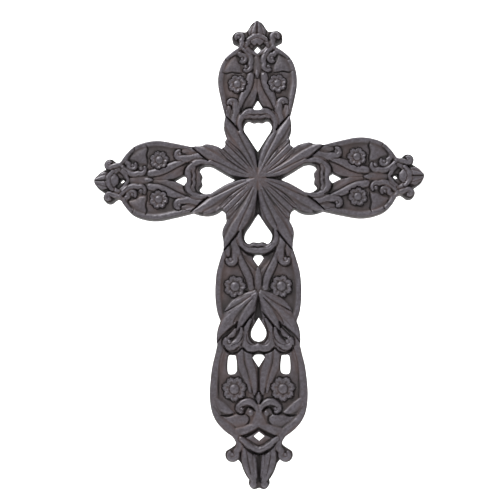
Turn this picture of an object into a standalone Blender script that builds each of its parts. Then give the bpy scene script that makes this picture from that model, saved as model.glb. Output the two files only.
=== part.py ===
"""A pierced wall cross cast in iron, carved with scrolls, rosettes and a star of leaves."""
import math

import bmesh
import bpy
import numpy as np
from mathutils import Vector
from mathutils.geometry import delaunay_2d_cdt

# Driving dimensions, in metres
CROSS_HEIGHT = 0.432
PANEL_THICKNESS = 0.0076
RELIEF_HEIGHT = 0.0044
EDGE_RADIUS = 0.0012

# The mesh: spacing of its points before it is thinned out, and the faces that it keeps
POINT_SPACING = 0.0015
FACE_COUNT = 9400

# The iron, dark brown with a low sheen
IRON_COLOUR = (0.045, 0.036, 0.034, 1.0)
IRON_ROUGHNESS = 0.55
IRON_METALLIC = 0.6

# The carving is drawn in units of its own, with the star's middle at the origin. Heights in it
# count from the flat back: the sunk floor, the open ground, the raised pads, the rims, the
# scrolls and the star.
FLOOR = 8.2
GROUND = 9.4
PAD = 10.0
RIM = 11.0
SCROLL = 11.8
STAR = 13.0
DEEPEST = 6.6

# The narrow ditch beside every ridge, an engraved line, the rims, and the step along a curve
DITCH = 1.1
DITCH_WIDTH = 0.9
LINE_DEPTH = 1.5
LINE_WIDTH = 1.0
RIM_WIDTH = 6.2
WIDE_RIM = 8.4
CURVE_STEP = 1.2

# How much further the star's leaves reach down the long limb than along the others
STAR_DROP = 1.09


def smooth_curve(points, step=CURVE_STEP):
    """Points along a smooth curve through a few given ones; extra columns such as a width follow."""
    points = np.array(points, dtype=float)
    if len(points) == 2:
        count = max(int(np.linalg.norm(points[1, :2] - points[0, :2]) / step), 1)
        share = np.linspace(0, 1, count + 1)[:, None]
        return points[0] * (1 - share) + points[1] * share
    before = 2 * points[0] - points[1]
    after = 2 * points[-1] - points[-2]
    padded = np.vstack([before, points, after])
    run = []
    for a, b, c, d in zip(padded, padded[1:], padded[2:], padded[3:]):
        count = max(int(np.linalg.norm(c[:2] - b[:2]) / step), 1)
        t = np.linspace(0, 1, count, endpoint=False)[:, None]
        run.append(b + 0.5 * t * (c - a + t * (2 * a - 5 * b + 4 * c - d + t * (3 * (b - c) + d - a))))
    run.append(points[-1:])
    return np.vstack(run)


def arc(centre, radius, start, end, step=CURVE_STEP):
    """Points along an arc, with its angles in degrees from the limb's own axis."""
    count = max(int(abs(math.radians(end - start)) * radius / step), 3)
    angles = np.radians(np.linspace(start, end, count + 1))
    return np.stack([centre[0] + radius * np.cos(angles), centre[1] + radius * np.sin(angles)], 1)


def join(*runs):
    """One polyline from several runs that meet end to end."""
    joined = [np.asarray(runs[0])[:, :2]]
    for run in runs[1:]:
        joined.append(np.asarray(run)[1:, :2])
    return np.vstack(joined)


def distance_to(x, y, path):
    """Distance of every point from a polyline, and the index along it of the nearest place."""
    best = np.full(x.shape, np.inf)
    place = np.zeros(x.shape)
    for i, (start, end) in enumerate(zip(path, path[1:])):
        run = end[:2] - start[:2]
        share = ((x - start[0]) * run[0] + (y - start[1]) * run[1]) / max(run @ run, 1e-12)
        share = np.clip(share, 0, 1)
        gap = np.hypot(x - start[0] - share * run[0], y - start[1] - share * run[1])
        nearer = gap < best
        best[nearer] = gap[nearer]
        place[nearer] = i + share[nearer]
    return best, place


def edge_distance(x, y, edge, reach, piece=8):
    """Distance of every point from a closed or open edge, no more than a given reach."""
    gap = np.full(x.shape, float(reach))
    for first in range(0, len(edge) - 1, piece):
        run = edge[first:first + piece + 1]
        low = run.min(axis=0) - reach
        high = run.max(axis=0) + reach
        spots = np.nonzero((x > low[0]) & (x < high[0]) & (y > low[1]) & (y < high[1]))[0]
        near, place = distance_to(x[spots], y[spots], run)
        gap[spots] = np.minimum(gap[spots], near)
    return gap


def inside_of(x, y, outline):
    """Which points lie inside a closed outline, by counting the edges that they cross."""
    inside = np.zeros(x.shape, dtype=bool)
    closed = np.vstack([outline, outline[:1]])[:, :2]
    for (ax, ay), (bx, by) in zip(closed, closed[1:]):
        if ay == by:
            continue
        crosses = (ay > y) != (by > y)
        inside ^= crosses & (x < (bx - ax) * (y - ay) / (by - ay) + ax)
    return inside


class Relief:
    """The height of the front at many points, along a limb and across it from its middle."""

    def __init__(self, along, across):
        self.along = along
        self.across = across
        self.height = np.full(along.shape, GROUND)

    def near(self, path, reach):
        """The points in the box round a path."""
        low = path[:, :2].min(axis=0) - reach
        high = path[:, :2].max(axis=0) + reach
        inside = (self.along > low[0]) & (self.along < high[0])
        return np.nonzero(inside & (self.across > low[1]) & (self.across < high[1]))[0]

    def ridge(self, points, top=SCROLL, foot=FLOOR, roundness=0.5, ditch=DITCH):
        """A rounded ridge through rows of along, across and half width, with a ditch beside it."""
        path = smooth_curve(points)
        spots = self.near(path, path[:, 2].max() + DITCH_WIDTH)
        gap, place = distance_to(self.along[spots], self.across[spots], path)
        width = np.interp(place, np.arange(len(path)), path[:, 2])
        beside = spots[(gap >= width) & (gap < width + DITCH_WIDTH)]
        beside_height = self.height[beside]
        self.height[beside] = np.minimum(beside_height, np.maximum(beside_height - ditch, DEEPEST))
        on = gap < width
        rise = foot + (top - foot) * (1 - (gap[on] / width[on]) ** 2) ** roundness
        self.height[spots[on]] = np.maximum(self.height[spots[on]], rise)

    def groove(self, points, depth):
        """A V-shaped groove through rows of along, across and half width."""
        path = smooth_curve(points)
        spots = self.near(path, path[:, 2].max())
        gap, place = distance_to(self.along[spots], self.across[spots], path)
        width = np.interp(place, np.arange(len(path)), path[:, 2])
        self.height[spots] -= depth * np.clip(1 - gap / width, 0, 1)

    def line(self, points, depth=LINE_DEPTH, width=LINE_WIDTH):
        """An engraved line through rows of along and across, finer at both ends."""
        widths = np.full(len(points), float(width))
        widths[[0, -1]] *= 0.4
        self.groove(np.column_stack([points, widths]), depth)

    def patch(self, outline, level, soften=1.2, crown=0.0, crown_reach=5.0):
        """A panel at a level of its own inside a closed outline, crowned towards its middle."""
        spots = self.near(outline, 0.0)
        spots = spots[inside_of(self.along[spots], self.across[spots], outline)]
        edge = np.vstack([outline, outline[:1]])
        gap = edge_distance(self.along[spots], self.across[spots], edge, max(soften, crown_reach))
        blend = np.clip(gap / soften, 0, 1)
        self.height[spots] = self.height[spots] * (1 - blend) + level * blend
        self.height[spots] += crown * np.clip(gap / crown_reach, 0, 1)

    def ball(self, centre, radius, top, foot=FLOOR):
        """A round knob."""
        gap = np.hypot(self.along - centre[0], self.across - centre[1]) / radius
        inside = gap < 1
        rise = foot + (top - foot) * np.sqrt(1 - gap[inside] ** 2)
        self.height[inside] = np.maximum(self.height[inside], rise)

    def volute(self, stem, centre, radius, start, sweep, width, top=SCROLL, ditch=DITCH):
        """A scroll: its stem, then a turn that tightens round a knob at its middle."""
        share = np.linspace(0, 1, max(int(abs(sweep) / 30), 3) + 1)
        angles = np.radians(start + sweep * share)
        reach = radius * (1 - 0.3 * share)
        turn = np.stack([centre[0] + reach * np.cos(angles), centre[1] + reach * np.sin(angles),
                         width * (1 - 0.45 * share)], 1)
        self.ridge(np.vstack([stem, turn]), top, ditch=ditch)
        self.ball(centre, 0.46 * radius, top + 0.3)

    def rosette(self, centre, radius, petals=7, turn=0.0, top=SCROLL, boss=0.38):
        """An open flower: ruffled petals cupped round a round boss, with a ditch about it."""
        dx = self.along - centre[0]
        dy = self.across - centre[1]
        gap = np.hypot(dx, dy)
        near = gap < radius * 1.15
        gap = gap[near]
        phase = petals * (np.arctan2(dy[near], dx[near]) - math.radians(turn))
        swell = np.cos(phase)
        edge = radius * (0.91 + 0.09 * swell - 0.07 * np.clip(swell, 0, 1) ** 10)
        share = gap / edge
        between = np.clip(-swell, 0, 1) ** 3 * np.clip(share * 1.4 - 0.3, 0, 1)
        cup = 1.0 * np.clip(1 - np.abs(share - 0.55) / 0.28, 0, 1)
        lip = 2.8 * np.clip((share - 0.86) / 0.14, 0, 1) ** 2
        petal = top - 0.2 - cup * (0.6 + 0.4 * swell) - 1.7 * between - lip
        boss_gap = gap / (boss * radius)
        dome = top - 1.4 + 2.2 * np.sqrt(np.clip(1 - boss_gap ** 2, 0, 1))
        value = np.where(boss_gap < 1, dome, petal - 1.0 * np.clip(1 - (boss_gap - 1) / 0.3, 0, 1))
        spots = np.nonzero(near)[0]
        on = share < 1
        self.height[spots[on]] = value[on]
        beside = spots[(share >= 1) & (gap < edge + DITCH_WIDTH)]
        self.height[beside] = np.minimum(self.height[beside], GROUND - DITCH)


# Half outlines, as along and across from a limb's middle

SIDE_CURL = ((150.0, 16.8), 6.0)
TOP_CURL = ((149.9, 18.9), 7.2)
FOOT_CURL = ((271.4, 25.3), 7.0)


def finial_edge(curl, limb):
    """The tip of a short limb, as far as the rolled end beside it."""
    if limb == 'top':
        rolled = arc(*curl, -15, 122)
        tip = [(168.5, 0), (166.8, 4), (163.2, 7), (158.8, 9.6), (156.4, 12), rolled[0]]
    else:
        rolled = arc(*curl, -48, 122)
        tip = [(165.8, 0), (164.4, 4), (160.6, 8), rolled[0]]
    return join(smooth_curve(tip), rolled)


def short_limb_side(limb):
    """From the tip of a short limb back to the notch where the star's leaf starts."""
    curl = TOP_CURL if limb == 'top' else SIDE_CURL
    spread = 0.0 if limb == 'top' else 0.5
    end = finial_edge(curl, limb)
    neck = smooth_curve([end[-1], (142.0, 18.3), (138.6, 19.3)])
    belly = [(138.6, 19.3), (133, 27.5 + spread), (125, 35 + spread), (113, 39.4 + spread),
             (100, 40.4 + spread), (84, 37.5 + spread), STAR_EDGE[limb][0]]
    return join(end, neck, smooth_curve(belly))


# Where the edge of the star's leaf runs on each kind of limb, from its notch to the inner corner
STAR_EDGE = {
    'top': [(64.5, 32.8), (57, 34.2), (50, 33.9), (44, 31.8), (41, 31.5), (38.4, 33.2), (35.8, 32.6)],
    'side': [(65.2, 33.6), (58, 35.8), (51, 36.7), (45, 35.8), (40, 33.6), (36.4, 31.2), (34.8, 32.2)],
    'down': [(71, 34.2), (64, 34.7), (56, 35.7), (50, 34.4), (44.4, 31.6), (40.6, 31.8), (36.6, 32.2)],
}
CORNER = (33.4, 33.4)


def star_corner(limb):
    """From that notch over the star's leaf to the middle of the inner corner."""
    return smooth_curve(STAR_EDGE[limb] + [CORNER])


def long_limb_side():
    """From the lowest tip of the long limb up to the notch below the star's leaf."""
    tip = smooth_curve([(302.2, 0), (303.6, 4.6), (301.8, 8), (298, 10), (294.5, 9.6)])
    finial = smooth_curve([(294.5, 9.6), (291.6, 11.8), (286, 14.8), (279.6, 17)])
    curl = arc(*FOOT_CURL, -50, 122)
    neck = smooth_curve([curl[-1], (261.8, 22.6), (258, 23), (254.4, 25.4)])
    base = smooth_curve([(254.4, 25.4), (248, 34), (239, 41.6), (228, 45.9), (212, 47.3), (190, 45.4),
                         (176, 42.3), (166.5, 40.2)])
    acanthus = smooth_curve([(166.5, 40.2), (161, 40.9), (152, 40), (143.4, 37.2)])
    middle = smooth_curve([(143.4, 37.2), (134, 40.4), (122, 42.1), (110, 42.3), (96, 41.2), (84, 38.2),
                           STAR_EDGE['down'][0]])
    return join(tip, finial, np.vstack([finial[-1:], curl]), neck, base, acanthus, middle)


def outline():
    """The cross's whole outline, as x and y from the star's middle."""
    side = join(short_limb_side('side'), star_corner('side'))
    up_right = join(short_limb_side('top'), star_corner('top'))[:, ::-1]
    right_down = side * [1, -1]
    down = join(long_limb_side(), star_corner('down'))
    down_right = np.stack([down[::-1, 1], -down[::-1, 0]], 1)
    half = join(up_right, side[::-1], right_down, down_right)
    left = half[::-1] * [-1, 1]
    return np.vstack([half, left[1:-1]])


def mirrored(half):
    """A closed outline from the half that runs from the limb's middle and back to it."""
    return np.vstack([half, (half[::-1] * [1, -1])[1:-1]])


# The big window beside the star on each kind of limb: its lumpy outer edge, then its side down to a point
WINDOW_EDGE = {
    'top': [(60.8, 0), (59.9, 4.4), (61.8, 8.6), (60.8, 11.6), (57.2, 13.8), (52.6, 14.3), (48.5, 12.9)],
    'side': [(57.2, 0), (56.2, 4.6), (59, 8.8), (58.4, 11.8), (55.2, 14.2), (50.4, 14.9), (46, 14)],
    'down': [(65.6, 0), (64.8, 5), (66.4, 8.8), (64.8, 12), (60.4, 13.7), (56, 13.4), (52.4, 11.6)],
}
WINDOW_SIDE = {
    'top': [(43.5, 9.6), (37, 5.6), (29, 0)],
    'side': [(41, 11), (33, 6), (22.6, 0)],
    'down': [(46.5, 7.4), (41, 4), (35, 0)],
}


def window(limb):
    """The big opening beside the star: lumps at its outer edge, and a point towards the star."""
    edge = smooth_curve(WINDOW_EDGE[limb])
    side = smooth_curve([WINDOW_EDGE[limb][-1]] + WINDOW_SIDE[limb])
    return mirrored(join(edge, side))


def kite(blunt, corner, apex, half_width):
    """A small opening with a blunt end towards the star and a point away from it."""
    edge = smooth_curve([(blunt, 0), (blunt + 0.4, half_width * 0.6), (corner, half_width)], 0.8)
    side = smooth_curve([(corner, half_width), ((corner + apex) / 2, half_width * 0.52), (apex, 0)], 0.8)
    return mirrored(join(edge, side))


def teardrop():
    """The opening between the acanthus leaves."""
    return mirrored(smooth_curve([(163.6, 0), (162, 4.4), (157.5, 7.3), (152, 7), (145.6, 3.8), (139.4, 0)]))


def slot():
    """One of the two windows under the garland."""
    return smooth_curve([(176.4, 22.4), (176.2, 26), (176.6, 29.4), (185, 30.6), (193.4, 30), (195, 26.4),
                         (193, 21.8), (185, 21.2), (176.4, 22.4)])[:-1]


def diamond(centre, half_along, half_across):
    """A small four-cornered opening."""
    corners = [(centre + half_along, 0), (centre, half_across), (centre - half_along, 0)]
    return mirrored(join(smooth_curve(corners[:2], 1.0), smooth_curve(corners[1:], 1.0)))


# The small diamond: the top one is open for the nail, the others are a little narrower
DIAMOND = {'top': (137.8, 5.0, 4.6), 'side': (137.4, 2.6, 2.6)}


def limb_holes(limb):
    """Every opening of a limb, as along and across."""
    if limb != 'down':
        return [window(limb), kite(71.6, 75.2, 84.4, 5.3), diamond(*DIAMOND[limb])]
    return [window('down'), kite(77, 80.8, 88.8, 5.5), teardrop(), kite(175.6, 178.6, 188, 6.0),
            slot(), slot()[::-1] * [1, -1], diamond(254, 4.2, 5.3)]


def turned(points, limb):
    """A limb's own along and across as x and y."""
    along = points[:, 0]
    across = points[:, 1]
    if limb == 'top':
        return np.stack([across, along], 1)
    if limb == 'right':
        return np.stack([along, across], 1)
    if limb == 'left':
        return np.stack([-along, across], 1)
    return np.stack([across, -along], 1)


def holes():
    """Every opening of the cross, as x and y."""
    kinds = {'top': 'top', 'right': 'side', 'left': 'side', 'down': 'down'}
    return [turned(hole, limb) for limb, kind in kinds.items() for hole in limb_holes(kind)]


# The carving

def carve_star(relief, drop, window_point):
    """A quarter of the star's leaves on one limb: along it and across it, both from the middle."""
    s = drop
    r = relief
    foot = 8.6
    # the lobe beside the window, the long leaf, and the leaflets up to the inner corner
    r.ridge([(0, 0, 3), (18 * s, 3.8, 3.4), (30 * s, 8.6, 4.2), (40 * s, 13.8, 4.2), (48 * s, 18.0, 2.2)],
            12.0, foot, 0.5, 0)
    r.ridge([(0, 0, 3), (20 * s, 8.8, 4.2), (34 * s, 16.6, 6.0), (45 * s, 23.6, 6.4), (54 * s, 28.9, 5.0),
             (61 * s, 32.2, 2.8), (65.5 * s, 34.4, 1.2)], 12.6, foot, 0.5, 0)
    r.ridge([(26, 17.4, 2.0), (34 * s, 24.4, 4.2), (43 * s, 30.4, 4.6), (52 * s, 34.6, 3.2)],
            11.8, foot, 0.5, 0)
    r.ridge([(0, 0, 2), (16, 10.6, 2.8), (28, 20.8, 3.6), (37, 29.6, 3.0), (41, 33, 1.6)], 12.4, foot, 0.5, 0)
    r.ridge([(0, 0, 2), (16, 14.6, 2.8), (28, 26.4, 3.6), (36, 34.2, 2.4)], 12.6, foot, 0.5, 0)
    # creases between them, curved like the leaves, and lens hollows near the corner
    r.line([(12, 3.6), (22 * s, 7.6), (34 * s, 13.6), (46 * s, 19.2)], 1.0, 1.1)
    r.line([(22 * s, 11.4), (34 * s, 19.8), (46 * s, 28.4), (56 * s, 32.2)], 0.5, 1.2)
    r.line([(9, 4.8), (18, 10.6), (29, 18.8), (38.6 * s, 29.0)], 1.0, 1.1)
    r.line([(12, 9.4), (21, 17.2), (31, 27), (37, 33)], 0.7, 1.0)
    r.groove([(26, 18.8, 0.4), (32, 24.4, 1.5), (37, 29.4, 0.8)], 1.0)
    # the middle, and the narrow wedge that opens into the window
    r.ball((0, 0), 8.5, 12.4, 9)
    point = window_point
    r.groove([(8, 0, 0.5), (0.62 * point, 0, 1.5), (point, 0, 3.2), (point + 5, 0, 4.4)], 4.8)


def star_shadow(relief, drop):
    """The limb's carving stops in a sunk strip under the edge of the star's leaves."""
    edge = np.array([(0, -1), (44, 14), (48.4, 17.2), (57.5, 24), (67.4, 33.4), (67.4, 60), (0, 60)])
    edge = edge * [drop, 1]
    under = inside_of(relief.along, relief.across, edge)
    relief.height[under] = np.minimum(relief.height[under], FLOOR - 0.4)


def rim(relief, edge, start, end, width=RIM_WIDTH):
    """The rounded rim just inside the edge of the medallions."""
    spots = np.nonzero((relief.along > start) & (relief.along < end))[0]
    gap = edge_distance(relief.along[spots], relief.across[spots], edge, width)
    share = np.clip((gap / width - 0.4) / 0.6, 0, 1)
    rise = GROUND + (RIM - GROUND) * (1 - share ** 2)
    relief.height[spots] = np.maximum(relief.height[spots], rise)


def carve_short_limb(relief, curl):
    """The medallion, scrolls and finial of a short limb."""
    r = relief
    # lens panels between the rim and the volutes, and their wavy lower edge
    panel = smooth_curve([(112, 17), (112.4, 26), (112, 34), (120, 33), (127, 27.4), (130.4, 22), (124, 20),
                          (119, 17), (112, 17)])
    r.patch(panel, PAD, 1.2, 0.7)
    r.line([(111.6, 14), (111.2, 20), (112.6, 26), (111.2, 32), (112.6, 36)], 1.5, 1.0)
    # the smooth ground round the small opening, its crease and bead
    r.patch(np.array([(70, -2), (70, 13), (78, 11.4), (86, 6), (92, 2), (92, -2)], dtype=float), 8.9, 2.4)
    r.line([(86, 0), (96, 0), (106, 0)], 0.9, 0.9)
    r.ridge([(107, 0, 1.4), (110, 0, 2.6), (113, 0, 1.4)], 11.0)
    # V ribs with round ends, the rosette and the pad under it
    r.ridge([(74, 19, 2.4), (84, 15.6, 3.6), (92, 11.8, 4.2), (100, 8.6, 4.2), (107, 7.2, 3.8)],
            11.3, roundness=0.42)
    r.ball((108.4, 7), 4.0, 11.5)
    r.rosette((99.4, 20.4), 10.4, petals=7, turn=20)
    # the inner volute and the outer scroll at the medallion's head
    r.volute([(137.4, 21.4, 3.4), (133, 16.4, 3.2)], (124.6, 17.4), 4.6, -20, -190, 3.0)
    r.volute([(140, 17.6, 2.6), (135, 11.2, 3.0), (129.6, 7.4, 3.2), (124, 6.2, 3.2)],
             (117.6, 11.6), 5.4, -55, -150, 3.0)
    r.ridge([(133.6, 0, 3.0), (122, 0, 3.6), (114, 0, 2.4)], 10.4)
    # the volute over the star's leaf, and the leaf beside it
    r.volute([(52, 25.6, 4.2), (62, 23.4, 4.8), (71, 21.8, 4.6)], (78.6, 26.6), 4.6, -115, 200, 3.4)
    r.ridge([(62, 30, 2.4), (69, 28.8, 3.2), (75, 29, 2.2)], 10.6)
    # the moustache over the big opening
    r.ridge([(46, 16.4, 2.0), (58, 18.2, 3.0), (65, 15.6, 3.8), (69.6, 9.6, 4.0), (70, 3.6, 3.8),
             (69.4, 0, 3.6)])
    r.ridge([(63.6, 12, 1.4), (65.2, 8, 1.8), (64, 3.8, 1.8), (64.8, 0, 1.8)], 10.6)
    r.line([(66, 17.6), (72.4, 12.6), (74.4, 6.4), (74, 0)], 1.6, 1.2)
    # the finial: petals, collar and keeled leaf
    r.ridge([(139, 10.5, 2.0), (134.6, 7.0, 2.4), (131.5, 1, 2.2)], 11.0)
    r.ridge([(141, 12, 2.6), (146.5, 8.0, 3.4), (144.6, 3.6, 2.4)], 11.2)
    r.groove([(134, 0, 2.0), (140, 0, 3.2), (146.6, 0, 2.2)], 3.6)
    r.ridge([(147, 0, 7), (156, 0, 9.5), (161, 0, 6.5), (167, 0, 2)], 11.8, roundness=0.4)
    r.line([(151, 0), (158, 0), (166, 0)], 1.8, 1.8)
    r.line([(151, 6.8), (158, 5.2), (164, 2.6)], 1.0, 1.1)
    r.ridge([(147, 9.4, 2.2), (150.4, 4.6, 2.4), (151.4, 0, 2.4)], 12.0)
    centre, radius = curl
    r.volute([(127, 32.6, 1.4), (133, 25.4, 2.8), (138.6, 19, 3.4), (143.6, 15.6, 3.0)],
             centre, 0.6 * radius, 215, 260, 2.9)


def carve_middle(relief):
    """The long limb's middle medallion, from the star to the acanthus."""
    r = relief
    # the sunk ground round the small opening, and the spine below it
    r.patch(np.array([(77, -2), (77, 16), (84, 12.6), (91, 6.4), (97, 1), (97, -2)], dtype=float), 8.5, 1.6)
    r.ridge([(92, 0, 1.6), (99, 0, 3.4), (107, 0, 4.2), (113, 0, 3.4)], 10.8, ditch=0)
    # V ribs with round ends, over a dark line
    r.ridge([(73, 19.6, 2.2), (79, 18.4, 2.8), (86, 15.8, 3.4), (94, 12.0, 3.8), (102, 8.6, 3.6),
             (109, 7.4, 3.2)], 11.3, roundness=0.42)
    r.ball((111, 6.8), 3.8, 11.5)
    r.line([(113.2, 1.4), (115.6, 5.6), (115, 9.6), (113.6, 13.6)], 2.0, 1.3)
    # the volute, the leaf beside it and the rosette
    r.volute([(57, 25.2, 4.6), (66, 23.4, 4.8), (75, 22.0, 4.4)], (82.6, 27.2), 4.9, -118, 205, 3.4)
    r.ridge([(65, 31, 2.2), (72, 29.6, 3.0), (78, 29.6, 2.0)], 10.6)
    r.rosette((109.6, 22.8), 11.8, petals=7, turn=10, boss=0.4)
    # the moustache under the big opening
    r.ridge([(50, 17.6, 2.0), (61, 18.2, 2.8), (67, 16, 3.4), (71.4, 11.4, 3.6), (73.4, 5.6, 3.4),
             (73.6, 0, 3.2)])
    r.ridge([(67, 12.4, 1.4), (69, 8, 1.8), (67.8, 3.6, 1.8), (68.8, 0, 1.8)], 10.6)
    r.line([(70, 17.2), (75.6, 12), (77.8, 5.6), (77.6, 0)], 2.2, 1.6)


def carve_acanthus(relief):
    """Three leaves on each side of the long limb's waist, and the wedge between them."""
    r = relief
    foot = 8.8
    r.ridge([(115, 3, 2.6), (119.6, 12, 4.2), (124.6, 21, 4.4), (129.4, 27.6, 3.0), (133.2, 32, 1.0)],
            11.6, foot, 0.6)
    r.ridge([(117, 2, 2.6), (126, 13.6, 5.6), (136, 24, 7.4), (146, 32, 6.8), (156, 37.6, 4.8),
             (165, 41.6, 1.2)], 12.2, foot, 0.6)
    r.ridge([(119, 2, 2.2), (129, 8, 4.8), (138, 13, 5.2), (146, 17.4, 3.8), (152.4, 20.6, 1.2)],
            12.6, foot, 0.6)
    # creases between the leaves, veins along them, and the dark edges under their tips
    r.line([(119, 7), (126.4, 18), (131, 26), (134.4, 32.6)], 1.7, 1.2)
    r.line([(121, 5), (131, 14.6), (140, 22.0), (146.4, 24.6)], 1.9, 1.3)
    for root, middle, tip in (((117, 9), (122, 20), (128.6, 28)), ((121, 9), (131, 22), (140, 33)),
                              ((123, 8.4), (136, 21), (150, 32.6)), ((122, 3.8), (134, 10.4), (147, 18))):
        r.line([root, middle, tip], 0.45, 1.2)
    r.groove([(144, 20.4, 0.6), (148.4, 21.6, 2.0), (152, 22, 0.8)], 2.4)
    r.line([(134, 3.4), (141, 8.8), (148, 14.8), (153.4, 20.4)], 2.0, 1.3)
    r.line([(148, 24), (153, 30), (159, 36.4), (165.6, 41)], 2.0, 1.4)
    r.groove([(120, 0, 0.8), (128, 0, 2.2), (134, 0, 3.8), (140, 0, 5.4)], 4.8)


def carve_garland(relief):
    """The bowl round the teardrop and the volutes beside it, with their scalloped lower edge."""
    r = relief
    r.ridge([(142, 7.4, 1.4), (149, 11, 2.6), (156, 13.2, 3.4), (163, 12.8, 4.6), (168.6, 9, 4.8),
             (170, 4, 4.4), (169, 0, 4.0)], 11.4, roundness=0.42)
    r.line([(150, 9.8), (157, 11.4), (163.4, 10.6), (167, 6.6), (166, 1.6)], 1.1, 0.9)
    r.volute([(151, 16.4, 1.8), (157, 17, 3.0), (163, 19.6, 4.2)], (163.8, 28.2), 5.4, -62, 215, 4.2)
    r.line([(152, 14.4), (159, 15.4), (164.8, 19.6), (167.4, 26)], 1.3, 0.9)
    r.ridge([(152, 22.4, 1.6), (156.4, 25, 2.6), (159, 29, 1.6)], 10.8)
    r.line([(172.6, 0), (174.6, 5.4), (173.6, 11), (170, 15.8), (173.4, 19.8), (174.8, 25.8), (172.4, 31),
            (167, 33.6)], 2.4, 1.5)


def carve_foot(relief):
    """The bottom medallion: stems, rosettes, C scrolls and lens pads."""
    r = relief
    r.line([(168, 33.4), (180, 37), (192, 38.4), (206, 38.8), (218, 38.4)], 0.9, 1.0)
    r.ridge([(168, 17, 3.0), (184, 16.8, 3.8), (194, 13.6, 3.4), (204, 9.8, 2.6), (211, 8.2, 1.2)], 10.6)
    r.ridge([(168, 10.6, 3.4), (182, 9.4, 3.8), (192, 6.6, 3.8), (202, 4.6, 3.4), (213, 3.4, 1.8)], 11.0)
    r.groove([(186, 0, 1.6), (196, 0, 1.3), (211, 0, 1.6)], 2.6)
    r.rosette((209.4, 23.4), 12.8, petals=7, turn=0, boss=0.37)
    # the bead in its lens, between the C scrolls
    r.volute([(229, 1.6, 2.4), (224.4, 4.6, 3.2), (221.6, 9.4, 3.6), (221.8, 14, 3.4)],
             (228.4, 16.2), 4.4, 160, -170, 3.0)
    r.line([(211.6, 0.6), (215, 3.2), (219, 3.8), (223, 1.8)], 2.2, 1.2)
    r.ridge([(213, 0, 1.0), (217.6, 0, 2.6), (222.4, 0, 1.2)], 10.8)
    r.line([(230.4, 3), (227.2, 6.6), (226.4, 10.6), (228.6, 12.6), (232.6, 14.6), (233.6, 18), (231, 21)],
           2.4, 1.5)
    r.ball((232.2, 7.4), 2.9, 10.8)
    # the smooth mass between the lens pads
    r.ridge([(226, 0, 2.6), (234, 0, 4.4), (241, 0, 7.4), (246.6, 0, 9.6)], 10.9, foot=9, ditch=0)
    pad = smooth_curve([(233.6, 13), (236.4, 9.4), (241, 10), (244.8, 14.4), (246, 22), (244.2, 30),
                        (240, 35), (235.6, 36.4), (235.4, 29), (233.2, 21), (233.6, 13)])
    r.patch(pad, PAD, 1.2, 0.8)
    r.line([(233.4, 12.4), (236.6, 9), (241.2, 9.8), (245.2, 14.4), (246.4, 22), (244.6, 30.6),
            (240.4, 36)], 1.5, 1.0)
    r.ridge([(220, 41.4, 1.8), (225, 36.4, 3.6), (229.2, 30.6, 3.2), (232, 24.4, 1.0)], 11.2)
    r.line([(232, 23), (234.4, 29), (234.2, 37)], 2.2, 1.4)


def carve_tip(relief):
    """The long limb's end: the neck and its rolled curls, the collar and the finial."""
    r = relief
    r.ridge([(264, 13.4, 3.0), (272, 11.6, 5.6), (281, 9.4, 6.0), (289, 6.6, 4.6), (296, 4.8, 2.8)],
            11.6, roundness=0.42)
    centre, radius = FOOT_CURL
    r.volute([(228, 43.6, 1.6), (238, 38.4, 3.4), (248, 27, 4.6), (256, 20.4, 4.4), (264, 18.6, 3.8)],
             centre, 0.66 * radius, -128, 262, 3.2, 11.4, 0.4)
    r.ridge([(246, 2, 5.0), (248, 12, 4.8), (250, 22, 4.2)], 11.0, ditch=0)
    r.groove([(247, 0, 2.6), (250.6, 6, 2.6), (253.6, 12, 2.2), (255, 16.6, 1.4)], 3.6)
    r.ridge([(256.4, 17, 2.4), (260.6, 11.6, 3.2), (264.8, 5.6, 3.2), (267, 0, 3.2)])
    r.line([(257.6, 11.6), (261, 7), (264, 3)], 1.4, 1.0)
    r.line([(263.6, 14.6), (268.4, 8.6), (271.6, 0)], 2.8, 1.7)
    r.groove([(271, 0, 1.8), (278, 0, 2.8), (287, 0, 2.0), (294, 0, 1.2)], 2.6)
    r.line([(268, 11.6), (278, 10.2), (290, 7.4)], 1.2, 1.2)
    r.ball((298.8, 5.4), 3.8, 11.8)


def relief_height(x, y):
    """Height of the front over the back at every point, in drawing units."""
    height = np.full(x.shape, GROUND)
    for limb, along, across in (('top', y, x), ('side', x, y), ('side', -x, y), ('down', -y, x)):
        spots = np.nonzero(along > np.abs(across) - 1e-9)[0]
        relief = Relief(along[spots], np.abs(across[spots]))
        if limb == 'down':
            side = long_limb_side()
            rim(relief, side, 60, 168)
            rim(relief, side, 168, 254, WIDE_RIM)
            carve_middle(relief)
            carve_acanthus(relief)
            carve_foot(relief)
            carve_garland(relief)
            carve_tip(relief)
        else:
            rim(relief, short_limb_side(limb), 56, 139)
            carve_short_limb(relief, TOP_CURL if limb == 'top' else SIDE_CURL)
        drop = STAR_DROP if limb == 'down' else 1.0
        star_shadow(relief, drop)
        carve_star(relief, drop, WINDOW_SIDE[limb][-1][0])
        height[spots] = relief.height
    return height


def round_edge(x, y, height, edges, radius):
    """Ease the front's height down at the outline and the holes."""
    gap = np.full(x.shape, radius)
    for edge in edges:
        gap = np.minimum(gap, edge_distance(x, y, np.vstack([edge, edge[:1]]), radius))
    share = 1 - gap / radius
    return height - radius * (1 - np.sqrt(1 - share ** 2))


def on_metal(x, y, edges):
    """Which points lie on the casting: inside its outline and outside its holes."""
    metal = inside_of(x, y, edges[0])
    for hole in edges[1:]:
        metal &= ~inside_of(x, y, hole)
    return metal


# The solid

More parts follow.
